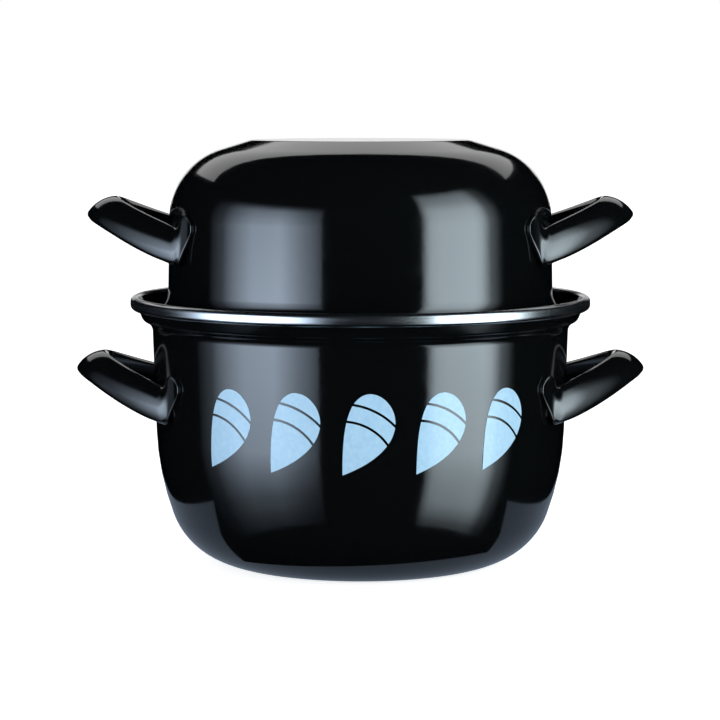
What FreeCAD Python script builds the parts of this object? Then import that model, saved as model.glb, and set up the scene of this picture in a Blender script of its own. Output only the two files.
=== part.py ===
import FreeCAD, Part
import math
import os

# A steel pot for cooking mussels, black enamelled inside and out, with an upside-down bowl as its lid.
# Sizes are in millimetres. The origin is the middle of the base, +Z is up and +X runs through the
# right handles.

# Sheet steel with its enamel
SHEET = 1.2
HANDLE_SHEET = 1.5
BAND_SHEET = 0.6

# Pot: outside radius and height of its neck, the wall below it, and the arcs that close it towards the base
NECK_RADIUS = 114.5
NECK_Z = 128.3
WALL_FLARE = 1.7  # how far the wall widens from its foot to the neck
WALL_FOOT_Z = 73.7
SIDE_ARC = 150.0
HEEL_ARC = 41.0

# Rim: the wall steps out to a sloping collar, which leaves a ledge inside, and a steel band covers its edge
NECK_ARC = 6.0
STEP_ANGLE = 62.0  # of the ledge, from upright
COLLAR_ARC = 3.5
COLLAR_ANGLE = 22.0  # of the collar, from upright
RIM_STEP = 10.1  # how far the sheet's edge stands out from the neck
RIM_RISE = 18.0  # of the sheet's edge above the neck
BAND_INSET = 0.7  # from the sheet's edge in to the middle of the band's rounded corners
BAND_DROP = 1.5  # from the sheet's edge down to the middle of the upper corner
BAND_CORNER = 2.65  # outside
BAND_FLAT = 2.0  # of the band's face, between its corners
BAND_TOP = 0.4  # flat, between the upper corner and the bend
BAND_BEND = 1.1  # outside radius of the bend over the sheet's edge
BAND_LEG = 1.2  # how far the band runs down inside the collar
BAND_HEM = 1.2  # how far the band runs back in under its face
BAND_SEAM = 0.2  # butt joint where the band's two ends meet
BAND_SEAM_TURN = 51.0  # place of the joint, round to the right from the front

# Lid: its rolled lip rests on the ledge, and its heights are above the middle of the lip
LIP_REST = 0.1  # how far up the ledge the lip rests
LIP_BEAD = 1.4
FLARE_ARC = 13.5
FLARE_ANGLE = 56.0  # of the flared edge, from upright
FLARE_WIDTH = 10.7  # from the middle of the lip in to the foot of the wall
LID_WALL_DRAW = 0.8  # how far the wall narrows from its foot to its top
LID_WALL_TOP = 54.2
SHOULDER_ARC = 40.2
CROWN_ANGLE = 17.0  # of the crown round the flat top, from level
CROWN_EDGE_ARC = 8.0
LID_RISE = 96.8

# Handles: the same loop of folded strap on both sides of the pot and of the lid. It rises outwards from
# the wall, and its upper edge, the crest, leans in from its lower one
POT_HANDLE_Z = 81.6  # lower edge of the strap where it leaves the pot's wall
LID_HANDLE_RISE = 30.9  # the same on the lid, above its lip
ROOT_TURN = 27.3  # degrees round the wall from the handle's middle to the foot of the strap
ROOT_LIFT = 5.9  # how far the foot stands off the wall
HANDLE_REACH = 53.0
HANDLE_SLOPE = 26.8
HANDLE_SAG = 2.8  # of the strap's lower edge between its foot and its tip
GRIP_HALF_WIDTH = 21.0
CREST_TURN = 24.8
CREST_LIFT = 3.6
CREST_REACH = 35.5
CREST_RISE = 20.6
CREST_SLOPE = 24.0
CREST_SAG = 1.0
CORNER_POWER = 2.5  # roundness of the loop in plan: 2 is an ellipse
STRAP_STATIONS = (0.0, 20.0, 40.0, 58.0, 72.0, 82.0, 88.0, 90.0)  # degrees round the loop from its middle
STRAP_FOLDS = (1.0, 1.0, 1.0, 1.0, 1.0, 1.0, 0.85, 0.7)  # how far the strap's edges are folded in
STRAP_HEIGHT = 19.0
FACE_TURN = 26.0  # how far the rounded face has turned where a fold starts
FACE_SHARES = (0.0, 0.5, 1.0)
FOLD_ARC = 2.0  # of the middle of the sheet
FOLD_TURN = 95.0
FOLD_SHARES = (1 / 3, 2 / 3, 1.0)
FLANGE = 3.0

# Weld pads, one at each end of the strap. Each station gives its degrees round the wall from the handle's
# middle, its lower and upper edge as shares of the pad's height, and its share of the lift off the wall
PAD_HEIGHT = 31.2  # above the strap's foot
PAD_LIFT = 2.7
PAD_STATIONS = (
    (27.9, 0.04, 0.78, 0.85),
    (29.3, 0.22, 0.88, 0.52),
    (30.6, 0.34, 0.86, 0.26),
    (31.9, 0.48, 0.78, 0.03),
    (33.1, 0.60, 0.68, 0.0),
)

# Small clearances: under the lid's lip and under the weld pads
SEAT_GAP = 0.1
PAD_GAP = 0.15

# Print on the front: a row of mussel shells
PRINT_SHEET = 0.2
SHELL_COUNT = 5
SHELL_PITCH = 19.5  # degrees round the pot
SHELL_LENGTH = 45.0
SHELL_WIDTH = 25.0
SHELL_FULLNESS = 1.3
SHELL_BEND = 12.0
SHELL_TILT = 24.0
SHELL_MIDDLE_Z = 84.0
SHELL_POINTS = 16
GROWTH_LINES = (0.62, 0.82)  # of the shell's length, from its beak
GROWTH_LINE_WIDTH = 1.3


def sine(angle):
    return math.sin(math.radians(angle))


def cosine(angle):
    return math.cos(math.radians(angle))


def flat(point):
    """A point of a profile, given as its radius and height."""
    return FreeCAD.Vector(point[0], 0, point[1])


def at(centre, radius, angle):
    """The point of a circle in a profile at an angle from outward, counted upwards."""
    return (centre[0] + radius * cosine(angle), centre[1] + radius * sine(angle))


def arc(centre, radius, start, end):
    ends = [flat(at(centre, radius, a)) for a in (start, (start + end) / 2, end)]
    return Part.Arc(*ends).toShape()


def line(start, end):
    return Part.LineSegment(flat(start), flat(end)).toShape()


def revolved(edges, turn=360.0):
    face = Part.Face(Part.Wire(edges))
    return face.revolve(FreeCAD.Vector(0, 0, 0), FreeCAD.Vector(0, 0, 1), turn)


# The pot's profile: its radii and the centres of its arcs
WALL_FOOT_RADIUS = NECK_RADIUS - WALL_FLARE
RIM_RADIUS = NECK_RADIUS + RIM_STEP
RIM_Z = NECK_Z + RIM_RISE
WALL_TAPER = math.degrees(math.atan2(WALL_FLARE, NECK_Z - WALL_FOOT_Z))
SIDE_CENTRE = at((WALL_FOOT_RADIUS, WALL_FOOT_Z), -SIDE_ARC, -WALL_TAPER)
HEEL_CENTRE = (
    SIDE_CENTRE[0] + math.sqrt((SIDE_ARC - HEEL_ARC) ** 2 - (SIDE_CENTRE[1] - HEEL_ARC) ** 2),
    HEEL_ARC,
)
HEEL_TURN = math.degrees(math.atan2(HEEL_ARC - SIDE_CENTRE[1], HEEL_CENTRE[0] - SIDE_CENTRE[0]))
NECK_CENTRE = at((NECK_RADIUS, NECK_Z), NECK_ARC, -WALL_TAPER)
LEDGE_START = at(NECK_CENTRE, NECK_ARC, 180 - STEP_ANGLE)
LEDGE_TO_COLLAR = (
    (RIM_RADIUS - LEDGE_START[0]) * cosine(COLLAR_ANGLE) - (RIM_Z - LEDGE_START[1]) * sine(COLLAR_ANGLE)
)
COLLAR_TURN = STEP_ANGLE - COLLAR_ANGLE
LEDGE_LENGTH = (LEDGE_TO_COLLAR - COLLAR_ARC * (1 - cosine(COLLAR_TURN))) / sine(COLLAR_TURN)
COLLAR_CENTRE = (
    LEDGE_START[0] + LEDGE_LENGTH * sine(STEP_ANGLE) - COLLAR_ARC * cosine(STEP_ANGLE),
    LEDGE_START[1] + LEDGE_LENGTH * cosine(STEP_ANGLE) + COLLAR_ARC * sine(STEP_ANGLE),
)

# The steel band's corners and its bend
BAND_MIDDLE = RIM_RADIUS - BAND_INSET
BAND_HIGH = RIM_Z - BAND_DROP
BAND_LOW = BAND_HIGH - BAND_FLAT
BEND_CENTRE = (BAND_MIDDLE - BAND_TOP, BAND_HIGH + BAND_CORNER - BAND_BEND)

# The lid's lip rests on the ledge, which sets the lid's width and height
LIP_DEPTH = SHEET + SEAT_GAP + LIP_BEAD
LIP_RADIUS = LEDGE_START[0] + LIP_REST * sine(STEP_ANGLE) - LIP_DEPTH * cosine(STEP_ANGLE)
LIP_Z = LEDGE_START[1] + LIP_REST * cosine(STEP_ANGLE) + LIP_DEPTH * sine(STEP_ANGLE)
LIP_CENTRE = (LIP_RADIUS, LIP_Z)

# The lid's profile
LID_TOP_Z = LIP_Z + LID_RISE
LID_WALL_TOP_Z = LIP_Z + LID_WALL_TOP
LID_WALL_FOOT_RADIUS = LIP_RADIUS - FLARE_WIDTH
LID_WALL_TOP_RADIUS = LID_WALL_FOOT_RADIUS - LID_WALL_DRAW
FLARE_RUN = FLARE_WIDTH - FLARE_ARC * (1 - cosine(FLARE_ANGLE))
FLARE_LENGTH = (FLARE_RUN + SHEET / 2 * cosine(FLARE_ANGLE)) / sine(FLARE_ANGLE)
LID_WALL_FOOT_Z = LIP_Z + (FLARE_ARC + SHEET / 2) * sine(FLARE_ANGLE) + FLARE_LENGTH * cosine(FLARE_ANGLE)
LID_TAPER = math.degrees(math.atan2(LID_WALL_DRAW, LID_WALL_TOP_Z - LID_WALL_FOOT_Z))
FLARE_CENTRE = at((LID_WALL_FOOT_RADIUS, LID_WALL_FOOT_Z), FLARE_ARC, LID_TAPER)
SHOULDER_CENTRE = at((LID_WALL_TOP_RADIUS, LID_WALL_TOP_Z), -SHOULDER_ARC, LID_TAPER)
CROWN_RISE = (
    LID_TOP_Z - CROWN_EDGE_ARC - SHOULDER_CENTRE[1] - (SHOULDER_ARC - CROWN_EDGE_ARC) * cosine(CROWN_ANGLE)
)
CROWN_EDGE_CENTRE = (
    SHOULDER_CENTRE[0]
    + (SHOULDER_ARC - CROWN_EDGE_ARC) * sine(CROWN_ANGLE)
    - CROWN_RISE / math.tan(math.radians(CROWN_ANGLE)),
    LID_TOP_Z - CROWN_EDGE_ARC,
)


def pot_radius(z):
    """Outside radius of the pot's wall at a height."""
    if z < WALL_FOOT_Z:
        return SIDE_CENTRE[0] + math.sqrt(SIDE_ARC ** 2 - (z - SIDE_CENTRE[1]) ** 2)
    return WALL_FOOT_RADIUS + (z - WALL_FOOT_Z) * math.tan(math.radians(WALL_TAPER))


def lid_radius(z):
    """Outside radius of the lid's wall and shoulder at a height."""
    if z > LID_WALL_TOP_Z:
        return SHOULDER_CENTRE[0] + math.sqrt(SHOULDER_ARC ** 2 - (z - SHOULDER_CENTRE[1]) ** 2)
    return LID_WALL_TOP_RADIUS + (LID_WALL_TOP_Z - z) * math.tan(math.radians(LID_TAPER))


def rim_edge(inset):
    """Where a face of the pot's sheet meets its top edge."""
    return (RIM_RADIUS - inset / cosine(COLLAR_ANGLE), RIM_Z)


def pot_face(inset):
    """One face of the pot's sheet, from the axis to the rim: inset 0 is outside, inset SHEET inside."""
    return [
        line((0, inset), (HEEL_CENTRE[0], inset)),
        arc(HEEL_CENTRE, HEEL_ARC - inset, -90, HEEL_TURN),
        arc(SIDE_CENTRE, SIDE_ARC - inset, HEEL_TURN, -WALL_TAPER),
        line(
            at(SIDE_CENTRE, SIDE_ARC - inset, -WALL_TAPER),
            at(NECK_CENTRE, NECK_ARC + inset, 180 - WALL_TAPER),
        ),
        arc(NECK_CENTRE, NECK_ARC + inset, 180 - WALL_TAPER, 180 - STEP_ANGLE),
        line(
            at(NECK_CENTRE, NECK_ARC + inset, 180 - STEP_ANGLE),
            at(COLLAR_CENTRE, COLLAR_ARC - inset, -STEP_ANGLE),
        ),
        arc(COLLAR_CENTRE, COLLAR_ARC - inset, -STEP_ANGLE, -COLLAR_ANGLE),
        line(at(COLLAR_CENTRE, COLLAR_ARC - inset, -COLLAR_ANGLE), rim_edge(inset)),
    ]


def pot_body():
    closing = [
        line((0, 0), (0, SHEET)),
        line(rim_edge(0), rim_edge(SHEET)),
    ]
    return revolved(Part.sortEdges(pot_face(0) + pot_face(SHEET) + closing)[0])


def band_face(inset):
    """One face of the steel strip, from its leg inside the collar, over the sheet's edge and down to its hem:
    inset 0 is outside, inset BAND_SHEET inside."""
    corner = BAND_CORNER - inset
    bend = BAND_BEND - inset
    leg_top = at(BEND_CENTRE, bend, 180 - COLLAR_ANGLE)
    leg_end = (leg_top[0] - BAND_LEG * sine(COLLAR_ANGLE), leg_top[1] - BAND_LEG * cosine(COLLAR_ANGLE))
    hem_end = (BAND_MIDDLE - BAND_HEM, BAND_LOW - corner)
    edges = [
        line(leg_end, leg_top),
        arc(BEND_CENTRE, bend, 180 - COLLAR_ANGLE, 90),
        line((BEND_CENTRE[0], BAND_HIGH + corner), (BAND_MIDDLE, BAND_HIGH + corner)),
        arc((BAND_MIDDLE, BAND_HIGH), corner, 90, 0),
        line((BAND_MIDDLE + corner, BAND_HIGH), (BAND_MIDDLE + corner, BAND_LOW)),
        arc((BAND_MIDDLE, BAND_LOW), corner, 0, -90),
        line((BAND_MIDDLE, BAND_LOW - corner), hem_end),
    ]
    return edges, leg_end, hem_end


def rim_band():
    """The steel strip bent over the pot's edge, with the gap of its butt joint."""
    outside, outer_leg, outer_hem = band_face(0)
    inside, inner_leg, inner_hem = band_face(BAND_SHEET)
    ends = [line(outer_leg, inner_leg), line(outer_hem, inner_hem)]
    gap = math.degrees(BAND_SEAM / RIM_RADIUS)
    band = revolved(Part.sortEdges(outside + inside + ends)[0], 360 - gap)
    band.rotate(FreeCAD.Vector(0, 0, 0), FreeCAD.Vector(0, 0, 1), BAND_SEAM_TURN - 90 + gap / 2)
    return band


def lid_face(inset):
    """One face of the lid's sheet, from the axis to the lip: inset 0 is outside, inset SHEET inside."""
    lip_back = -math.sqrt(LIP_BEAD ** 2 - (SHEET / 2) ** 2)
    side = SHEET / 2 - inset
    lip = (
        LIP_RADIUS + side * cosine(FLARE_ANGLE) + lip_back * sine(FLARE_ANGLE),
        LIP_Z + side * sine(FLARE_ANGLE) - lip_back * cosine(FLARE_ANGLE),
    )
    crown = 90 - CROWN_ANGLE
    edges = [
        line((0, LID_TOP_Z - inset), (CROWN_EDGE_CENTRE[0], LID_TOP_Z - inset)),
        arc(CROWN_EDGE_CENTRE, CROWN_EDGE_ARC - inset, 90, crown),
        line(
            at(CROWN_EDGE_CENTRE, CROWN_EDGE_ARC - inset, crown),
            at(SHOULDER_CENTRE, SHOULDER_ARC - inset, crown),
        ),
        arc(SHOULDER_CENTRE, SHOULDER_ARC - inset, crown, LID_TAPER),
        line(
            at(SHOULDER_CENTRE, SHOULDER_ARC - inset, LID_TAPER),
            at(FLARE_CENTRE, FLARE_ARC + inset, 180 + LID_TAPER),
        ),
        arc(FLARE_CENTRE, FLARE_ARC + inset, 180 + LID_TAPER, 180 + FLARE_ANGLE),
        line(at(FLARE_CENTRE, FLARE_ARC + inset, 180 + FLARE_ANGLE), lip),
    ]
    return edges, lip


def lid_bowl():
    outside, outer_lip = lid_face(0)
    inside, inner_lip = lid_face(SHEET)
    lip_end = at(LIP_CENTRE, LIP_BEAD, FLARE_ANGLE - 90)
    bead = Part.Arc(flat(outer_lip), flat(lip_end), flat(inner_lip)).toShape()
    closing = [line((0, LID_TOP_Z), (0, LID_TOP_Z - SHEET)), bead]
    return revolved(Part.sortEdges(outside + inside + closing)[0])


def on_wall(radius_at, turn, z, height):
    """A point above the wall, at an angle round it from the middle of the handle."""
    radius = radius_at(z) + height
    return FreeCAD.Vector(radius * cosine(turn), radius * sine(turn), z)


def upper_half(height, fold):
    """The strap's sheet from the middle of its face to its upper edge: at each place how far outward, how
    far up, its normal's angle, and the length of sheet up to there."""
    turn = FOLD_TURN * fold
    fold_reach = (FOLD_ARC + HANDLE_SHEET / 2) * sine(min(turn, 90)) - FOLD_ARC * sine(FACE_TURN)
    half_face = height / 2 - fold_reach - max(FLANGE * cosine(turn), 0)
    face_radius = half_face / sine(FACE_TURN)
    face_length = face_radius * math.radians(FACE_TURN)
    places = []
    for share in FACE_SHARES:
        angle = FACE_TURN * share
        out = face_radius * (cosine(angle) - cosine(FACE_TURN))
        places.append((out, face_radius * sine(angle), angle, face_length * share))
    for share in FOLD_SHARES:
        angle = FACE_TURN + (turn - FACE_TURN) * share
        out = FOLD_ARC * (cosine(angle) - cosine(FACE_TURN))
        up = half_face + FOLD_ARC * (sine(angle) - sine(FACE_TURN))
        places.append((out, up, angle, face_length + FOLD_ARC * math.radians(angle - FACE_TURN)))
    out, up, angle, length = places[-1]
    places.append((out - FLANGE * sine(angle), up + FLANGE * cosine(angle), angle, length + FLANGE))
    return places


def folded_section(height, fold):
    """The whole sheet across its width, as how far outward, how far up and its normal's angle."""
    upper = [(out, up, angle) for out, up, angle, length in upper_half(height, fold)]
    lower = [(out, -up, -angle) for out, up, angle in upper[:0:-1]]
    return lower + upper


def unfolded_shares():
    """How far up the same places lie once the sheet is flat, from -1 at one edge to 1 at the other."""
    lengths = [place[3] for place in upper_half(STRAP_HEIGHT, 1)]
    upper = [length / lengths[-1] for length in lengths]
    return [-share for share in upper[:0:-1]] + upper


def strap_edges(radius_at, base_z, angle):
    """Lower and upper edge of the strap at a place round its loop, counted from the middle of the grip."""
    share = max(cosine(angle), 0) ** (2 / CORNER_POWER)
    edges = []
    for turn, lift, reach, rise, slope, sag in (
        (ROOT_TURN, ROOT_LIFT, HANDLE_REACH, 0, HANDLE_SLOPE, HANDLE_SAG),
        (CREST_TURN, CREST_LIFT, CREST_REACH, CREST_RISE, CREST_SLOPE, CREST_SAG),
    ):
        root = radius_at(base_z + rise) + lift
        out = reach * share
        half_width = share * GRIP_HALF_WIDTH + (1 - share) * root * sine(turn)
        aside = half_width * sine(angle) ** (2 / CORNER_POWER)
        z = base_z + rise + out * sine(slope) / cosine(slope) - 4 * sag * share * (1 - share)
        edges.append(FreeCAD.Vector(root * cosine(turn) + out, aside, z))
    return edges


def strap_row(low, high, forward, fold):
    """Points of the strap's channel, outer side first, square to the loop."""
    up = (high - low).normalize()
    outward = forward.cross(up).normalize()
    middle = (low + high) / 2
    section = folded_section((high - low).Length, fold)
    row = []
    for side in (1, -1):
        points = []
        for out, rise, angle in section:
            out += side * HANDLE_SHEET / 2 * cosine(angle)
            rise += side * HANDLE_SHEET / 2 * sine(angle)
            points.append(middle + outward * (out - HANDLE_SHEET / 2) + up * rise)
        row += points[::side]
    return row


def pad_row(radius_at, turn, low_z, high_z, lift):
    """Points of a weld pad over the wall, outer side first, spaced as the strap's sheet is unfolded."""
    row = []
    for side, height in ((1, lift + HANDLE_SHEET), (-1, lift)):
        points = []
        for share in unfolded_shares():
            z = (low_z + high_z) / 2 + (high_z - low_z) / 2 * share
            points.append(on_wall(radius_at, turn, z, height))
        row += points[::side]
    return row


def handle_rows(radius_at, base_z):
    """Rows of points from the middle of the grip to the tip of the pad on the +Y side."""
    edges = [strap_edges(radius_at, base_z, angle) for angle in STRAP_STATIONS]
    rows = []
    for i, (low, high) in enumerate(edges):
        before = edges[max(i - 1, 0)]
        after = edges[min(i + 1, len(edges) - 1)]
        forward = (after[0] + after[1]) - (before[0] + before[1])
        if i == 0:
            forward = FreeCAD.Vector(0, 1, 0)
        rows.append(strap_row(low, high, forward, STRAP_FOLDS[i]))
    for turn, low, high, lift in PAD_STATIONS:
        low_z = base_z + low * PAD_HEIGHT
        high_z = base_z + high * PAD_HEIGHT
        rows.append(pad_row(radius_at, turn, low_z, high_z, PAD_GAP + lift * PAD_LIFT))
    return rows


def handle(radius_at, base_z):
    """The right-hand handle: strips of smooth sheet from pad to pad, closed at the pads' tips."""
    half = handle_rows(radius_at, base_z)
    rows = [[FreeCAD.Vector(p.x, -p.y, p.z) for p in row] for row in half[:0:-1]] + half
    count = len(rows)
    knots = list(range(count - 2))
    mults = [4] + [1] * (count - 4) + [4]
    columns = len(rows[0])
    faces = []
    for i in range(columns):
        strip = Part.BSplineSurface()
        poles = [[row[i], row[(i + 1) % columns]] for row in rows]
        strip.buildFromPolesMultsKnots(poles, mults, [2, 2], knots, [0, 1], False, False, 3, 1)
        faces.append(strip.toShape())
    for row in (rows[0], rows[-1]):
        faces.append(Part.Face(Part.makePolygon(row + row[:1])))
    shell = Part.makeShell(faces)
    shell.sewShape()
    solid = Part.makeSolid(shell)
    if solid.Volume < 0:
        solid.reverse()
    return solid


def shell_outline():
    """A mussel shell in the X, Z plane: pointed at its beak, round at the other end, a little bent."""
    points = []
    for i in range(SHELL_POINTS + 1):
        turn = 360 * i / SHELL_POINTS
        up = SHELL_LENGTH * (1 - cosine(turn)) / 2
        aside = SHELL_WIDTH / 2 * sine(turn) * sine(turn / 2) * SHELL_FULLNESS
        aside += SHELL_BEND * (up / SHELL_LENGTH) * (1 - up / SHELL_LENGTH)
        points.append(FreeCAD.Vector(aside, 0, up))
    curve = Part.BSplineCurve()
    curve.interpolate(points)
    return Part.Face(Part.Wire([curve.toShape()]))


def ring_face(inner, outer):
    """A flat ring round the beak, for cutting a shell along its growth lines."""
    axis = FreeCAD.Vector(0, 1, 0)
    centre = FreeCAD.Vector(0, 0, 0)
    disc = Part.Face(Part.Wire([Part.Circle(centre, axis, outer).toShape()]))
    if inner == 0:
        return disc
    return disc.cut(Part.Face(Part.Wire([Part.Circle(centre, axis, inner).toShape()])))


def shell_print():
    """The printed row of shells: each is a thin raised skin on the wall, parted by growth lines."""
    low_z = SHELL_MIDDLE_Z - SHELL_LENGTH
    high_z = SHELL_MIDDLE_Z + SHELL_LENGTH
    low_turn = math.degrees(math.asin((low_z - SIDE_CENTRE[1]) / SIDE_ARC))
    outer_arc = SIDE_ARC + PRINT_SHEET
    inner_top = (pot_radius(high_z), high_z)
    outer_top = (pot_radius(high_z) + PRINT_SHEET / cosine(WALL_TAPER), high_z)
    skin_edges = [
        arc(SIDE_CENTRE, SIDE_ARC, low_turn, -WALL_TAPER),
        line(at(SIDE_CENTRE, SIDE_ARC, -WALL_TAPER), inner_top),
        line(inner_top, outer_top),
        line(outer_top, at(SIDE_CENTRE, outer_arc, -WALL_TAPER)),
        arc(SIDE_CENTRE, outer_arc, low_turn, -WALL_TAPER),
        line(at(SIDE_CENTRE, outer_arc, low_turn), at(SIDE_CENTRE, SIDE_ARC, low_turn)),
    ]
    skin = revolved(Part.sortEdges(skin_edges)[0])
    outline = shell_outline()
    rings = []
    inner = 0
    for share in GROWTH_LINES:
        rings.append((inner, share * SHELL_LENGTH - GROWTH_LINE_WIDTH / 2))
        inner = share * SHELL_LENGTH + GROWTH_LINE_WIDTH / 2
    rings.append((inner, 2 * SHELL_LENGTH))
    pieces = []
    for i in range(SHELL_COUNT):
        place = i - (SHELL_COUNT - 1) / 2
        for inner, outer in rings:
            patch = outline.common(ring_face(inner, outer))
            patch.translate(FreeCAD.Vector(0, 0, -SHELL_LENGTH / 2))
            patch.rotate(FreeCAD.Vector(0, 0, 0), FreeCAD.Vector(0, 1, 0), SHELL_TILT)
            patch.translate(FreeCAD.Vector(0, 0, SHELL_MIDDLE_Z))
            patch.translate(FreeCAD.Vector(0, -2 * NECK_RADIUS, 0))
            piece = patch.extrude(FreeCAD.Vector(0, 2 * NECK_RADIUS, 0)).common(skin)
            piece.rotate(FreeCAD.Vector(0, 0, 0), FreeCAD.Vector(0, 0, 1), place * SHELL_PITCH)
            pieces += piece.Solids
    return Part.makeCompound(pieces)


def main():
    os.makedirs("parts", exist_ok=True)
    nodes = {
        "pot_body": pot_body(),
        "pot_rim_band": rim_band(),
        "lid_bowl": lid_bowl(),
        "shell_print": shell_print(),
    }
    for owner, radius_at, base_z in (
        ("pot", pot_radius, POT_HANDLE_Z),
        ("lid", lid_radius, LIP_Z + LID_HANDLE_RISE),
    ):
        right = handle(radius_at, base_z)
        nodes[owner + "_handle_right"] = right
        nodes[owner + "_handle_left"] = right.mirror(FreeCAD.Vector(0, 0, 0), FreeCAD.Vector(1, 0, 0))
    for name, shape in nodes.items():
        shape.exportStep("parts/" + name + ".step")
        print(name, len(shape.Solids), shape.isValid(), round(shape.Volume), shape.BoundBox)


main()
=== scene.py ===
import bpy
import math
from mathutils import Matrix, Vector


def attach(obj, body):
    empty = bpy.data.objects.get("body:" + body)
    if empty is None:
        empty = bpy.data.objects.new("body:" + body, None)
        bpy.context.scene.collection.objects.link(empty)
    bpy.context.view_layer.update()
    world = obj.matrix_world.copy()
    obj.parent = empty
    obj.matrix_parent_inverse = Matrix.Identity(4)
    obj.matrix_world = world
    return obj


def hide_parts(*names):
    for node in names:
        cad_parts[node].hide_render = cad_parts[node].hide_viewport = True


# A black enamelled mussel pot with its bowl-shaped lid, in a white studio with black flags round it.
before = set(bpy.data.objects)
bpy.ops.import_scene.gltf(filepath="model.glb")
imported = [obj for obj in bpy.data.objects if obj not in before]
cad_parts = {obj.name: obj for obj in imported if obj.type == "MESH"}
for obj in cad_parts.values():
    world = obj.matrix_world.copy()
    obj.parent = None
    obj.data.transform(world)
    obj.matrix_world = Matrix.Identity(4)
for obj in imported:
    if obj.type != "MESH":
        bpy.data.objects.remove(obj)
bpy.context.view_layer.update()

MM = 0.001

# Sheet steel with its enamel
SHEET = 1.2 * MM
HANDLE_SHEET = 1.5 * MM
BAND_SHEET = 0.6 * MM

# Pot: outside radius and height of its neck, the wall below it, and the arcs that close it towards the base
NECK_RADIUS = 114.5 * MM
NECK_Z = 128.3 * MM
WALL_FLARE = 1.7 * MM
WALL_FOOT_Z = 73.7 * MM
SIDE_ARC = 150.0 * MM
HEEL_ARC = 41.0 * MM

# Rim: ledge, sloping collar and the steel band over its edge
NECK_ARC = 6.0 * MM
STEP_ANGLE = 62.0
COLLAR_ARC = 3.5 * MM
COLLAR_ANGLE = 22.0
RIM_STEP = 10.1 * MM
RIM_RISE = 18.0 * MM
BAND_INSET = 0.7 * MM
BAND_DROP = 1.5 * MM
BAND_CORNER = 2.63 * MM
BAND_FLAT = 2.0 * MM
BAND_TOP = 0.4 * MM
BAND_BEND = 1.1 * MM
BAND_LEG = 1.2 * MM
BAND_HEM = 1.2 * MM
BAND_SEAM = 0.2 * MM
BAND_SEAM_TURN = 51.0

# Lid
LIP_REST = 0.1 * MM
LIP_BEAD = 1.4 * MM
SEAT_GAP = 0.1 * MM
FLARE_ARC = 13.5 * MM
FLARE_ANGLE = 56.0
FLARE_WIDTH = 10.7 * MM
LID_WALL_DRAW = 0.8 * MM
LID_WALL_TOP = 54.2 * MM
SHOULDER_ARC = 40.2 * MM
CROWN_ANGLE = 17.0
CROWN_EDGE_ARC = 8.0 * MM
LID_RISE = 96.8 * MM

# Handles
POT_HANDLE_Z = 81.6 * MM
LID_HANDLE_RISE = 30.9 * MM
ROOT_TURN = 27.3
ROOT_LIFT = 5.9 * MM
HANDLE_REACH = 52.9 * MM
HANDLE_SLOPE = 26.8
HANDLE_SAG = 2.8 * MM
GRIP_HALF_WIDTH = 21.0 * MM
CREST_TURN = 24.8
CREST_LIFT = 3.6 * MM
CREST_REACH = 35.5 * MM
CREST_RISE = 20.6 * MM
CREST_SLOPE = 24.0
CREST_SAG = 1.0 * MM
CORNER_POWER = 2.5
STRAP_STATIONS = (0.0, 20.0, 40.0, 58.0, 72.0, 82.0, 88.0, 90.0)
STRAP_FOLDS = (1.0, 1.0, 1.0, 1.0, 1.0, 1.0, 0.85, 0.7)
STRAP_HEIGHT = 19.0 * MM
FACE_TURN = 26.0
FOLD_ARC = 2.0 * MM
FOLD_TURN = 95.0
FLANGE = 3.0 * MM
PAD_HEIGHT = 31.2 * MM
PAD_LIFT = 2.7 * MM
PAD_GAP = 0.15 * MM
PAD_STATIONS = (
    (27.9, 0.04, 0.78, 0.85),
    (29.3, 0.22, 0.88, 0.52),
    (30.6, 0.34, 0.86, 0.26),
    (31.9, 0.48, 0.78, 0.03),
    (33.1, 0.60, 0.68, 0.0),
)

# How finely the meshes are cut
TURN_STEPS = 256
ARC_STEP = 5.0
FACE_STEPS = 6
FOLD_STEPS = 7
EDGE_STEPS = 5
ROW_STEPS = 8

# Camera: its place, its tilt down in degrees, and its lens and sensor in millimetres
CAMERA_PLACE = (-0.0002, -1.3653, 0.2543)
CAMERA_TILT = 5.99
CAMERA_LENS = 123.9
CAMERA_SENSOR = 36

# Studio, in metres and degrees
WHITE = (1.0, 1.0, 1.0, 1.0)
AMBIENT = 0.6  # plain light on the object from all round
OBJECT_MIDDLE = 0.14  # height that the lamps stand round
SOFTBOX_DISTANCE = 1.3
CARD_STEPS = 24
TENT_REACH = 4.6
TENT_COLUMNS = 90
TENT_BOTTOM = -1.0
TENT_TOP = 1.44
BACK_STRIP_HEIGHT = 0.65
BACK_STRIP_TURN = 165  # round from the front to where the open strip at the back starts
TABLE_REACH = 6.0
TABLE_COLOUR = (0.8, 0.8, 0.8, 1)
TABLE_GLOW = 0.84  # where the camera sees the table, so that it comes out white
LIT_TABLE_COLOUR = (0.2, 0.25, 0.32, 1)  # what the enamel mirrors of the table


def sine(angle):
    return math.sin(math.radians(angle))


def cosine(angle):
    return math.cos(math.radians(angle))


def at(centre, radius, angle):
    """The point of a circle in a profile at an angle from outward, counted upwards."""
    return (centre[0] + radius * cosine(angle), centre[1] + radius * sine(angle))


def arc(centre, radius, start, end):
    """Points along an arc of a profile."""
    steps = max(2, math.ceil(abs(end - start) / ARC_STEP))
    return [at(centre, radius, start + (end - start) * i / steps) for i in range(steps + 1)]


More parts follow.
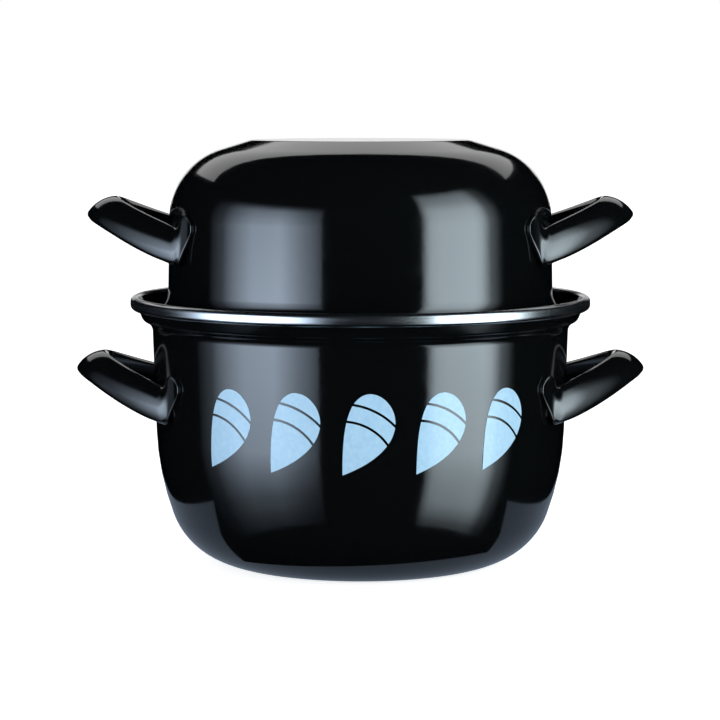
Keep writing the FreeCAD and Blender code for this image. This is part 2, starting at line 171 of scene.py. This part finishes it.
# The pot's profile
WALL_FOOT_RADIUS = NECK_RADIUS - WALL_FLARE
RIM_RADIUS = NECK_RADIUS + RIM_STEP
RIM_Z = NECK_Z + RIM_RISE
WALL_TAPER = math.degrees(math.atan2(WALL_FLARE, NECK_Z - WALL_FOOT_Z))
SIDE_CENTRE = at((WALL_FOOT_RADIUS, WALL_FOOT_Z), -SIDE_ARC, -WALL_TAPER)
HEEL_CENTRE = (
    SIDE_CENTRE[0] + math.sqrt((SIDE_ARC - HEEL_ARC) ** 2 - (SIDE_CENTRE[1] - HEEL_ARC) ** 2),
    HEEL_ARC,
)
HEEL_TURN = math.degrees(math.atan2(HEEL_ARC - SIDE_CENTRE[1], HEEL_CENTRE[0] - SIDE_CENTRE[0]))
NECK_CENTRE = at((NECK_RADIUS, NECK_Z), NECK_ARC, -WALL_TAPER)
LEDGE_START = at(NECK_CENTRE, NECK_ARC, 180 - STEP_ANGLE)
LEDGE_TO_COLLAR = (
    (RIM_RADIUS - LEDGE_START[0]) * cosine(COLLAR_ANGLE) - (RIM_Z - LEDGE_START[1]) * sine(COLLAR_ANGLE)
)
COLLAR_TURN = STEP_ANGLE - COLLAR_ANGLE
LEDGE_LENGTH = (LEDGE_TO_COLLAR - COLLAR_ARC * (1 - cosine(COLLAR_TURN))) / sine(COLLAR_TURN)
COLLAR_CENTRE = (
    LEDGE_START[0] + LEDGE_LENGTH * sine(STEP_ANGLE) - COLLAR_ARC * cosine(STEP_ANGLE),
    LEDGE_START[1] + LEDGE_LENGTH * cosine(STEP_ANGLE) + COLLAR_ARC * sine(STEP_ANGLE),
)
RIM_EDGE_CENTRE = (
    RIM_RADIUS - SHEET / 2 * (1 + sine(COLLAR_ANGLE)) / cosine(COLLAR_ANGLE),
    RIM_Z - SHEET / 2,
)
BAND_MIDDLE = RIM_RADIUS - BAND_INSET
BAND_HIGH = RIM_Z - BAND_DROP
BAND_LOW = BAND_HIGH - BAND_FLAT
BEND_CENTRE = (BAND_MIDDLE - BAND_TOP, BAND_HIGH + BAND_CORNER - BAND_BEND)

# The lid's profile
LIP_DEPTH = SHEET + SEAT_GAP + LIP_BEAD
LIP_RADIUS = LEDGE_START[0] + LIP_REST * sine(STEP_ANGLE) - LIP_DEPTH * cosine(STEP_ANGLE)
LIP_Z = LEDGE_START[1] + LIP_REST * cosine(STEP_ANGLE) + LIP_DEPTH * sine(STEP_ANGLE)
LIP_CENTRE = (LIP_RADIUS, LIP_Z)
LID_TOP_Z = LIP_Z + LID_RISE
LID_WALL_TOP_Z = LIP_Z + LID_WALL_TOP
LID_WALL_FOOT_RADIUS = LIP_RADIUS - FLARE_WIDTH
LID_WALL_TOP_RADIUS = LID_WALL_FOOT_RADIUS - LID_WALL_DRAW
FLARE_RUN = FLARE_WIDTH - FLARE_ARC * (1 - cosine(FLARE_ANGLE))
FLARE_LENGTH = (FLARE_RUN + SHEET / 2 * cosine(FLARE_ANGLE)) / sine(FLARE_ANGLE)
LID_WALL_FOOT_Z = LIP_Z + (FLARE_ARC + SHEET / 2) * sine(FLARE_ANGLE) + FLARE_LENGTH * cosine(FLARE_ANGLE)
LID_TAPER = math.degrees(math.atan2(LID_WALL_DRAW, LID_WALL_TOP_Z - LID_WALL_FOOT_Z))
FLARE_CENTRE = at((LID_WALL_FOOT_RADIUS, LID_WALL_FOOT_Z), FLARE_ARC, LID_TAPER)
SHOULDER_CENTRE = at((LID_WALL_TOP_RADIUS, LID_WALL_TOP_Z), -SHOULDER_ARC, LID_TAPER)
CROWN_RISE = (
    LID_TOP_Z - CROWN_EDGE_ARC - SHOULDER_CENTRE[1] - (SHOULDER_ARC - CROWN_EDGE_ARC) * cosine(CROWN_ANGLE)
)
CROWN_EDGE_CENTRE = (
    SHOULDER_CENTRE[0]
    + (SHOULDER_ARC - CROWN_EDGE_ARC) * sine(CROWN_ANGLE)
    - CROWN_RISE / math.tan(math.radians(CROWN_ANGLE)),
    LID_TOP_Z - CROWN_EDGE_ARC,
)


def pot_radius(z):
    """Outside radius of the pot's wall at a height."""
    if z < WALL_FOOT_Z:
        return SIDE_CENTRE[0] + math.sqrt(SIDE_ARC ** 2 - (z - SIDE_CENTRE[1]) ** 2)
    return WALL_FOOT_RADIUS + (z - WALL_FOOT_Z) * math.tan(math.radians(WALL_TAPER))


def lid_radius(z):
    """Outside radius of the lid's wall and shoulder at a height."""
    if z > LID_WALL_TOP_Z:
        return SHOULDER_CENTRE[0] + math.sqrt(SHOULDER_ARC ** 2 - (z - SHOULDER_CENTRE[1]) ** 2)
    return LID_WALL_TOP_RADIUS + (LID_WALL_TOP_Z - z) * math.tan(math.radians(LID_TAPER))


def pot_face(inset):
    """One face of the pot's sheet, from the axis to the collar: inset 0 is outside, SHEET inside."""
    points = [(0, inset), (HEEL_CENTRE[0] / 2, inset)]
    points += arc(HEEL_CENTRE, HEEL_ARC - inset, -90, HEEL_TURN)
    points += arc(SIDE_CENTRE, SIDE_ARC - inset, HEEL_TURN, -WALL_TAPER)[1:]
    points += arc(NECK_CENTRE, NECK_ARC + inset, 180 - WALL_TAPER, 180 - STEP_ANGLE)
    points += arc(COLLAR_CENTRE, COLLAR_ARC - inset, -STEP_ANGLE, -COLLAR_ANGLE)
    return points


def lid_face(inset):
    """One face of the lid's sheet, from the axis to the lip: inset 0 is outside, SHEET inside."""
    crown = 90 - CROWN_ANGLE
    points = [(0, LID_TOP_Z - inset), (CROWN_EDGE_CENTRE[0] / 2, LID_TOP_Z - inset)]
    points += arc(CROWN_EDGE_CENTRE, CROWN_EDGE_ARC - inset, 90, crown)
    points += arc(SHOULDER_CENTRE, SHOULDER_ARC - inset, crown, LID_TAPER)
    points += arc(FLARE_CENTRE, FLARE_ARC + inset, 180 + LID_TAPER, 180 + FLARE_ANGLE)
    return points


def new_mesh(name, verts, faces):
    """An object with smooth faces, added to the scene."""
    mesh = bpy.data.meshes.new(name)
    mesh.from_pydata(verts, [], faces)
    mesh.validate()
    mesh.polygons.foreach_set("use_smooth", [True] * len(mesh.polygons))
    mesh.update()
    piece = bpy.data.objects.new(name, mesh)
    bpy.context.scene.collection.objects.link(piece)
    return piece


def lathe(name, outline):
    """A closed outline that starts and ends on the axis, turned full circle. It runs outside first."""
    ring_points = outline[1:-1]
    count = len(ring_points)
    verts = []
    for j in range(TURN_STEPS):
        angle = 360 * j / TURN_STEPS
        verts += [(r * cosine(angle), r * sine(angle), z) for r, z in ring_points]
    first = len(verts)
    verts += [(0, 0, outline[0][1]), (0, 0, outline[-1][1])]
    faces = []
    for j in range(TURN_STEPS):
        here = j * count
        there = (j + 1) % TURN_STEPS * count
        faces.append((first, there, here))
        faces.append((first + 1, here + count - 1, there + count - 1))
        for i in range(count - 1):
            faces.append((here + i, there + i, there + i + 1, here + i + 1))
    return new_mesh(name, verts, faces)


def pot_piece():
    """The pot with its rounded top edge."""
    edge = arc(RIM_EDGE_CENTRE, SHEET / 2, -COLLAR_ANGLE, 180 - COLLAR_ANGLE)
    return lathe("enamel_pot", pot_face(0) + edge + pot_face(SHEET)[::-1])


def lid_piece():
    """The lid's bowl, with the rolled bead of its lip."""
    back = math.degrees(math.acos(SHEET / 2 / LIP_BEAD))
    bead = arc(LIP_CENTRE, LIP_BEAD, FLARE_ANGLE + back, FLARE_ANGLE - 180 - back)
    outside = lid_face(0)
    inside = lid_face(SHEET)
    return lathe("enamel_lid", (outside + bead + inside[::-1])[::-1])


def band_face(inset):
    """One face of the steel strip, from its leg over the pot's edge and down to its hem."""
    points = arc(BEND_CENTRE, BAND_BEND - inset, 180 - COLLAR_ANGLE, 90)
    points += arc((BAND_MIDDLE, BAND_HIGH), BAND_CORNER - inset, 90, 0)
    points += arc((BAND_MIDDLE, BAND_LOW), BAND_CORNER - inset, 0, -90)
    return points


def band_piece():
    """The bright steel strip bent over the pot's edge, open at its butt joint."""
    edge = BAND_SHEET / 2
    leg_top = at(BEND_CENTRE, BAND_BEND - edge, 180 - COLLAR_ANGLE)
    leg_centre = at(leg_top, edge - BAND_LEG, 90 - COLLAR_ANGLE)
    hem_centre = (BAND_MIDDLE - BAND_HEM + edge, BAND_LOW - BAND_CORNER + edge)
    ring = band_face(0)
    ring += arc(hem_centre, edge, -90, -270)
    ring += band_face(BAND_SHEET)[::-1]
    ring += arc(leg_centre, edge, -COLLAR_ANGLE, -180 - COLLAR_ANGLE)
    count = len(ring)
    gap = math.degrees(BAND_SEAM / RIM_RADIUS)
    start = BAND_SEAM_TURN - 90 + gap / 2
    verts = []
    for j in range(TURN_STEPS + 1):
        angle = start + (360 - gap) * j / TURN_STEPS
        verts += [(r * cosine(angle), r * sine(angle), z) for r, z in ring]
    faces = []
    for j in range(TURN_STEPS):
        for i in range(count):
            k = (i + 1) % count
            here = j * count
            there = here + count
            faces.append((here + i, here + k, there + k, there + i))
    first = len(verts)
    verts += verts[:count] + verts[-count:]
    faces.append(tuple(range(first, first + count))[::-1])
    faces.append(tuple(range(first + count, first + 2 * count)))
    return new_mesh("steel_rim_band", verts, faces)


def upper_half(height, fold):
    """The strap's sheet from the middle of its face to its upper edge: at each place how far outward, how
    far up, its normal's angle, and the length of sheet up to there."""
    turn = FOLD_TURN * fold
    fold_reach = (FOLD_ARC + HANDLE_SHEET / 2) * sine(min(turn, 90)) - FOLD_ARC * sine(FACE_TURN)
    half_face = height / 2 - fold_reach - max(FLANGE * cosine(turn), 0)
    face_radius = half_face / sine(FACE_TURN)
    face_length = face_radius * math.radians(FACE_TURN)
    places = []
    for i in range(FACE_STEPS + 1):
        angle = FACE_TURN * i / FACE_STEPS
        out = face_radius * (cosine(angle) - cosine(FACE_TURN))
        places.append((out, face_radius * sine(angle), angle, face_radius * math.radians(angle)))
    for i in range(1, FOLD_STEPS + 1):
        angle = FACE_TURN + (turn - FACE_TURN) * i / FOLD_STEPS
        out = FOLD_ARC * (cosine(angle) - cosine(FACE_TURN))
        up = half_face + FOLD_ARC * (sine(angle) - sine(FACE_TURN))
        places.append((out, up, angle, face_length + FOLD_ARC * math.radians(angle - FACE_TURN)))
    out, up, angle, length = places[-1]
    flange = FLANGE - HANDLE_SHEET / 2
    places.append((out - flange * sine(angle), up + flange * cosine(angle), angle, length + flange))
    return places


def ring_offsets():
    """Round one row of the sheet: which place it follows, and its offsets across and along the sheet
    as shares of half the sheet's thickness, so that both edges come out round."""
    places = 2 * (FACE_STEPS + FOLD_STEPS + 1) + 1
    ring = [(i, 1, 0) for i in range(places)]
    turns = [180 * i / EDGE_STEPS for i in range(1, EDGE_STEPS)]
    ring += [(places - 1, cosine(turn), sine(turn)) for turn in turns]
    ring += [(i, -1, 0) for i in range(places - 1, -1, -1)]
    ring += [(0, -cosine(turn), -sine(turn)) for turn in turns]
    return ring


def strap_edges(radius_at, base_z, angle):
    """Lower and upper edge of the strap at a place round its loop, counted from the middle of the grip."""
    share = max(cosine(angle), 0) ** (2 / CORNER_POWER)
    edges = []
    for turn, lift, reach, rise, slope, sag in (
        (ROOT_TURN, ROOT_LIFT, HANDLE_REACH, 0, HANDLE_SLOPE, HANDLE_SAG),
        (CREST_TURN, CREST_LIFT, CREST_REACH, CREST_RISE, CREST_SLOPE, CREST_SAG),
    ):
        root = radius_at(base_z + rise) + lift
        out = reach * share
        half_width = share * GRIP_HALF_WIDTH + (1 - share) * root * sine(turn)
        aside = half_width * sine(angle) ** (2 / CORNER_POWER)
        z = base_z + rise + out * sine(slope) / cosine(slope) - 4 * sag * share * (1 - share)
        edges.append(Vector((root * cosine(turn) + out, aside, z)))
    return edges


def strap_row(low, high, forward, fold):
    """One row of the folded strap, square to the loop."""
    up = (high - low).normalized()
    outward = forward.cross(up).normalized()
    middle = (low + high) / 2
    upper = upper_half((high - low).length, fold)
    section = [(out, -rise, -angle) for out, rise, angle, length in upper[:0:-1]]
    section += [(out, rise, angle) for out, rise, angle, length in upper]
    row = []
    for place, across, along in ring_offsets():
        out, rise, angle = section[place]
        out += HANDLE_SHEET / 2 * (across * cosine(angle) - along * sine(angle))
        rise += HANDLE_SHEET / 2 * (across * sine(angle) + along * cosine(angle))
        row.append(middle + outward * (out - HANDLE_SHEET / 2) + up * rise)
    return row


def pad_row(radius_at, turn, low_z, high_z, lift):
    """One row of a weld pad over the wall, spaced as the strap's sheet is unfolded."""
    lengths = [place[3] for place in upper_half(STRAP_HEIGHT, 1)]
    whole = lengths[-1] + HANDLE_SHEET / 2
    upper = [length / whole for length in lengths]
    shares = [-share for share in upper[:0:-1]] + upper
    middle = (low_z + high_z) / 2
    row = []
    for place, across, along in ring_offsets():
        z = middle + (high_z - low_z) / 2 * shares[place] + HANDLE_SHEET / 2 * along
        radius = radius_at(z) + lift + HANDLE_SHEET / 2 * (1 + across)
        row.append(Vector((radius * cosine(turn), radius * sine(turn), z)))
    return row


def handle_rows(radius_at, base_z):
    """Rows from the middle of the grip to the tip of the pad on the +Y side."""
    edges = [strap_edges(radius_at, base_z, angle) for angle in STRAP_STATIONS]
    rows = []
    for i, (low, high) in enumerate(edges):
        before = edges[max(i - 1, 0)]
        after = edges[min(i + 1, len(edges) - 1)]
        forward = (after[0] + after[1]) - (before[0] + before[1])
        if i == 0:
            forward = Vector((0, 1, 0))
        rows.append(strap_row(low, high, forward, STRAP_FOLDS[i]))
    for turn, low, high, lift in PAD_STATIONS:
        low_z = base_z + low * PAD_HEIGHT
        high_z = base_z + high * PAD_HEIGHT
        rows.append(pad_row(radius_at, turn, low_z, high_z, PAD_GAP + lift * PAD_LIFT))
    return rows


def spline_weights(count, steps):
    """Cubic weights over rows of control points, as (first row, four weights), for a curve that starts at
    the first row and ends at the last."""
    knots = [0] * 3 + list(range(count - 2)) + [count - 3] * 3
    result = []
    for span in range(count - 3):
        for i in range(steps + (span == count - 4)):
            u = span + i / steps
            weights = [1.0]
            k = span + 3
            for degree in range(1, 4):
                raised = [0.0] * (degree + 1)
                for j, weight in enumerate(weights):
                    left = knots[k - degree + 1 + j]
                    right = knots[k + 1 + j]
                    share = (u - left) / (right - left)
                    raised[j] += weight * (1 - share)
                    raised[j + 1] += weight * share
                weights = raised
            result.append((span, weights))
    return result


def handle_piece(name, radius_at, base_z, side):
    """A whole handle from pad to pad. side is 1 on the right and -1 on the left."""
    half = handle_rows(radius_at, base_z)
    rows = [[Vector((p.x, -p.y, p.z)) for p in row] for row in half[:0:-1]] + half
    count = len(rows[0])
    verts = []
    for first, weights in spline_weights(len(rows), ROW_STEPS):
        for i in range(count):
            point = sum((rows[first + j][i] * weight for j, weight in enumerate(weights)), Vector())
            verts.append((point.x * side, point.y, point.z))
    faces = []
    for here in range(0, len(verts) - count, count):
        for i in range(count):
            k = (i + 1) % count
            faces.append((here + i, here + k, here + count + k, here + count + i))
    faces.append(tuple(range(count))[::-1])
    faces.append(tuple(range(len(verts) - count, len(verts))))
    if side > 0:
        faces = [face[::-1] for face in faces]
    return new_mesh(name, verts, faces)


# Materials


def new_material(name):
    """A material with the usual shader, and what is needed to build on it."""
    material = bpy.data.materials.new(name)
    material.use_nodes = True
    nodes = material.node_tree.nodes
    shader = nodes["Principled BSDF"]
    return material, nodes, material.node_tree.links, shader


def noise(nodes, links, scale, detail=2.0, stretch=(1, 1, 1)):
    """Noise over the object's own space, in lumps per metre."""
    place = nodes.new("ShaderNodeTexCoord")
    mapping = nodes.new("ShaderNodeMapping")
    mapping.inputs["Scale"].default_value = stretch
    texture = nodes.new("ShaderNodeTexNoise")
    texture.inputs["Scale"].default_value = scale
    texture.inputs["Detail"].default_value = detail
    links.new(place.outputs["Object"], mapping.inputs["Vector"])
    links.new(mapping.outputs["Vector"], texture.inputs["Vector"])
    return texture.outputs["Fac"]


def ranged(nodes, links, value, low, high):
    """Turns a noise between 0 and 1 into one between two values."""
    span = nodes.new("ShaderNodeMapRange")
    span.inputs["From Min"].default_value = 0.3
    span.inputs["From Max"].default_value = 0.7
    span.inputs["To Min"].default_value = low
    span.inputs["To Max"].default_value = high
    links.new(value, span.inputs["Value"])
    return span.outputs["Result"]


def bump(nodes, links, shader, height, distance):
    """Roughens a material's surface by a noise, with its height in metres."""
    node = nodes.new("ShaderNodeBump")
    node.inputs["Distance"].default_value = distance
    links.new(height, node.inputs["Height"])
    links.new(node.outputs["Normal"], shader.inputs["Normal"])


def black_enamel():
    """Fired black glass: nearly black, very glossy, with the slight orange peel of a dipped coat."""
    material, nodes, links, shader = new_material("black_enamel")
    shader.inputs["Base Color"].default_value = (0.0028, 0.0033, 0.0036, 1)
    shader.inputs["IOR"].default_value = 1.75
    gloss = noise(nodes, links, 90, 3)
    links.new(ranged(nodes, links, gloss, 0.07, 0.11), shader.inputs["Roughness"])
    bump(nodes, links, shader, noise(nodes, links, 260, 1), 0.00001)
    return material


def band_steel():
    """Bright rolled stainless steel, finely drawn along the rim."""
    material, nodes, links, shader = new_material("band_steel")
    shader.inputs["Base Color"].default_value = (0.75, 0.76, 0.78, 1)
    shader.inputs["Metallic"].default_value = 1.0
    lines = noise(nodes, links, 30, 2, (1, 1, 40))
    links.new(ranged(nodes, links, lines, 0.22, 0.27), shader.inputs["Roughness"])
    return material


def print_enamel():
    """Pale ice blue, printed and fired into the glaze."""
    material, nodes, links, shader = new_material("print_enamel")
    shader.inputs["Roughness"].default_value = 0.16
    shader.inputs["IOR"].default_value = 1.5
    mix = nodes.new("ShaderNodeMix")
    mix.data_type = "RGBA"
    mix.inputs["A"].default_value = (0.42, 0.64, 0.82, 1)
    mix.inputs["B"].default_value = (0.5, 0.72, 0.87, 1)
    links.new(ranged(nodes, links, noise(nodes, links, 400, 4), 0, 1), mix.inputs["Factor"])
    links.new(mix.outputs["Result"], shader.inputs["Base Color"])
    return material


def dress(piece, material, slot, *replaced):
    """Gives a piece its material; slot is not used. A new piece is hung from the root body, and the solids
    it stands in for are hidden.
    """
    piece.data.materials.clear()
    piece.data.materials.append(material)
    if replaced:
        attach(piece, "root")
        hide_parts(*replaced)


# Lights and backdrop


def calculate(nodes, links, operation, first, second):
    """Adds or multiplies a value of a material and a second one, which may be a plain number."""
    node = nodes.new("ShaderNodeMath")
    node.operation = operation
    links.new(first, node.inputs[0])
    if isinstance(second, float):
        node.inputs[1].default_value = second
    else:
        links.new(second, node.inputs[1])
    return node.outputs[0]


def light_rays(nodes, links, *kinds):
    """1 for the kinds of ray that are named, 0 for the others."""
    path = nodes.new("ShaderNodeLightPath")
    total = path.outputs[kinds[0]]
    for kind in kinds[1:]:
        total = calculate(nodes, links, "ADD", total, path.outputs[kind])
        total.node.use_clamp = True
    return total


def white_world():
    """White where it is seen, mirrored or looked through, and a dim plain light on the object."""
    world = bpy.data.worlds.new("studio")
    bpy.context.scene.world = world
    world.use_nodes = True
    nodes = world.node_tree.nodes
    links = world.node_tree.links
    background = nodes["Background"]
    seen = light_rays(nodes, links, "Is Camera Ray", "Is Glossy Ray", "Is Transmission Ray")
    span = nodes.new("ShaderNodeMapRange")
    span.inputs["To Min"].default_value = AMBIENT
    span.inputs["To Max"].default_value = 1.0
    links.new(seen, span.inputs["Value"])
    background.inputs["Color"].default_value = WHITE
    links.new(span.outputs["Result"], background.inputs["Strength"])


def only_mirrored(card, lights_scene=False):
    """A card of the studio that shows in reflections alone, and lights the object if it is a lamp."""
    card.visible_camera = False
    card.visible_transmission = False
    card.visible_volume_scatter = False
    card.visible_diffuse = lights_scene
    card.visible_shadow = False


def emission(name, colour, strength):
    """A material that only glows."""
    material = bpy.data.materials.new(name)
    material.use_nodes = True
    nodes = material.node_tree.nodes
    links = material.node_tree.links
    nodes.remove(nodes["Principled BSDF"])
    glow = nodes.new("ShaderNodeEmission")
    glow.inputs["Color"].default_value = colour
    glow.inputs["Strength"].default_value = strength
    links.new(glow.outputs["Emission"], nodes["Material Output"].inputs["Surface"])
    return material, nodes, links, glow


def profile(nodes, links, value, stops):
    """How bright a lamp's cloth is along one direction, from its place as a share of the whole span."""
    node = nodes.new("ShaderNodeValToRGB")
    ramp = node.color_ramp
    first, last = stops[0][0], stops[-1][0]
    for place, level in stops[1:-1]:
        ramp.elements.new((place - first) / (last - first)).color = (level, level, level, 1)
    for element, (place, level) in ((ramp.elements[0], stops[0]), (ramp.elements[-1], stops[-1])):
        element.color = (level, level, level, 1)
    links.new(value, node.inputs["Fac"])
    return node.outputs["Color"]


def softbox(name, turns, rises, colour, strength):
    """A lamp's cloth that stands round the object. Its stops give degrees round from the front, and degrees
    of elevation, each with its brightness."""
    steps = CARD_STEPS
    verts = []
    for row in range(steps + 1):
        elevation = rises[0][0] + (rises[-1][0] - rises[0][0]) * row / steps
        for column in range(steps + 1):
            turn = turns[0][0] + (turns[-1][0] - turns[0][0]) * column / steps
            verts.append((
                SOFTBOX_DISTANCE * sine(turn),
                -SOFTBOX_DISTANCE * cosine(turn),
                OBJECT_MIDDLE + SOFTBOX_DISTANCE * sine(elevation) / cosine(elevation),
            ))
    faces = []
    for row in range(steps):
        for column in range(steps):
            corner = row * (steps + 1) + column
            faces.append((corner, corner + 1, corner + steps + 2, corner + steps + 1))
    card = new_mesh(name, verts, faces)
    spread = card.data.uv_layers.new(name="spread")
    for loop in card.data.loops:
        row, column = divmod(loop.vertex_index, steps + 1)
        spread.data[loop.index].uv = (column / steps, row / steps)
    material, nodes, links, glow = emission(name, colour, strength)
    place = nodes.new("ShaderNodeUVMap")
    place.uv_map = "spread"
    split = nodes.new("ShaderNodeSeparateXYZ")
    links.new(place.outputs["UV"], split.inputs["Vector"])
    across = profile(nodes, links, split.outputs["X"], turns)
    along = profile(nodes, links, split.outputs["Y"], rises)
    brightness = calculate(nodes, links, "MULTIPLY", across, along)
    links.new(calculate(nodes, links, "MULTIPLY", brightness, strength), glow.inputs["Strength"])
    card.data.materials.append(material)
    only_mirrored(card, True)
    return card


def black_tent():
    """Black cloth all round, with a low open strip at the back and a long opening in its roof behind."""
    reach = TENT_REACH
    columns = TENT_COLUMNS
    bottom, top = TENT_BOTTOM, TENT_TOP
    levels = (bottom, OBJECT_MIDDLE, OBJECT_MIDDLE + BACK_STRIP_HEIGHT, top)
    verts = []
    for z in levels:
        for column in range(columns):
            turn = 360 * column / columns
            verts.append((reach * sine(turn), -reach * cosine(turn), z))
    faces = []
    for row in range(len(levels) - 1):
        for column in range(columns):
            turn = 360 * (column + 0.5) / columns
            if row == 1 and min(turn, 360 - turn) > BACK_STRIP_TURN:
                continue
            low = row * columns
            high = low + columns
            beside = (column + 1) % columns
            faces.append((low + column, low + beside, high + beside, high + column))
    front, back = 1.1, 3.15
    left, front_right, back_right = -1.75, 1.62, 1.1
    for z, *corners in (
        (bottom, (-reach, -reach), (reach, -reach), (reach, reach), (-reach, reach)),
        (top, (-reach, -reach), (reach, -reach), (reach, front), (-reach, front)),
        (top, (-reach, back), (reach, back), (reach, reach), (-reach, reach)),
        (top, (-reach, front), (left, front), (left, back), (-reach, back)),
        (top, (front_right, front), (reach, front), (reach, back), (back_right, back)),
    ):
        first = len(verts)
        verts += [(x, y, z) for x, y in corners]
        faces.append((first, first + 1, first + 2, first + 3))
    tent = new_mesh("black_flags", verts, faces)
    material, nodes, links, glow = emission("black_flags", WHITE, 0.0)
    tent.data.materials.append(material)
    only_mirrored(tent)


def floor():
    """A white table top that keeps the pot's shadow. Reflections see only its lit part."""
    reach = TABLE_REACH
    corners = [(-reach, -reach, 0), (reach, -reach, 0), (reach, reach, 0), (-reach, reach, 0)]
    ground = new_mesh("table", corners, [(0, 1, 2, 3)])
    material, nodes, links, shader = new_material("table")
    shader.inputs["Base Color"].default_value = TABLE_COLOUR
    shader.inputs["Roughness"].default_value = 0.6
    shader.inputs["Specular IOR Level"].default_value = 0.0
    shader.inputs["Emission Color"].default_value = WHITE
    seen = light_rays(nodes, links, "Is Camera Ray", "Is Transmission Ray")
    glow = calculate(nodes, links, "MULTIPLY", seen, TABLE_GLOW)
    links.new(glow, shader.inputs["Emission Strength"])
    ground.data.materials.append(material)
    ground.visible_glossy = False
    lit_table()


def lit_table():
    """The lit part of the table: a strip behind the pot, and the round patch under it."""
    left, right, front, back = -0.17, 0.17, -0.06, 0.3
    middle, radius = 0.006, 0.0945
    half_turn = math.degrees(math.asin(-front / radius))
    verts = [(right, front, 0), (right, back, 0), (left, back, 0), (left, front, 0)]
    for i in range(CARD_STEPS + 1):
        turn = 180 + half_turn + (180 - 2 * half_turn) * i / CARD_STEPS
        verts.append((middle + radius * cosine(turn), radius * sine(turn), 0))
    lit = new_mesh("lit_table", verts, [tuple(range(len(verts)))])
    material, nodes, links, glow = emission("lit_table", LIT_TABLE_COLOUR, 1.0)
    lit.data.materials.append(material)
    only_mirrored(lit)


def camera():
    data = bpy.data.cameras.new("camera")
    data.lens = CAMERA_LENS
    data.sensor_width = CAMERA_SENSOR
    eye = bpy.data.objects.new("camera", data)
    eye.location = CAMERA_PLACE
    eye.rotation_euler = (math.radians(90 - CAMERA_TILT), 0, 0)
    bpy.context.scene.collection.objects.link(eye)
    bpy.context.scene.camera = eye


bpy.context.scene.view_settings.view_transform = "Standard"
camera()
white_world()
floor()
black_tent()
softbox(
    "left_softbox",
    turns=(
        (-97, 0), (-85.5, 0.1), (-74, 0.5), (-64, 0.85), (-46, 1), (-33, 0.5), (-24, 0.23), (-21.5, 0.15),
    ),
    rises=(
        (-44, 0), (-40, 0.03), (-36, 0.06), (-32, 0.11), (-29, 0.14), (-25, 0.24), (-21, 0.36), (-12, 0.8),
        (0, 1), (5, 0.7), (19, 0.4), (25, 0.06), (28, 0),
    ),
    colour=(0.67, 0.815, 1.0, 1),
    strength=5.9,
)
softbox(
    "right_softbox",
    turns=(
        (34.5, 0), (37, 0.45), (40, 0.82), (46, 0.93), (68, 1), (73, 0.83), (79.5, 0.2), (87, 0.03),
        (90, 0),
    ),
    rises=(
        (-46, 0), (-39, 0.1), (-36, 0.24), (-32, 0.42), (-29, 0.47), (-25, 0.52), (-21, 0.6), (-9, 1),
        (0, 1), (20, 0.8), (29, 0.5), (38.5, 0.3), (44, 0.02),
    ),
    colour=(0.77, 0.92, 1.0, 1),
    strength=5.6,
)

ENAMEL = black_enamel()
dress(pot_piece(), ENAMEL, "black_enamel", "pot_body")
dress(lid_piece(), ENAMEL, "black_enamel", "lid_bowl")
dress(band_piece(), band_steel(), "band_steel", "pot_rim_band")
for owner, radius_at, base_z in (
    ("pot", pot_radius, POT_HANDLE_Z),
    ("lid", lid_radius, LIP_Z + LID_HANDLE_RISE),
):
    for side_name, side in (("right", 1), ("left", -1)):
        piece = handle_piece("enamel_%s_handle_%s" % (owner, side_name), radius_at, base_z, side)
        dress(piece, ENAMEL, "black_enamel", "%s_handle_%s" % (owner, side_name))
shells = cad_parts["shell_print"]
dress(shells, print_enamel(), "print_enamel")
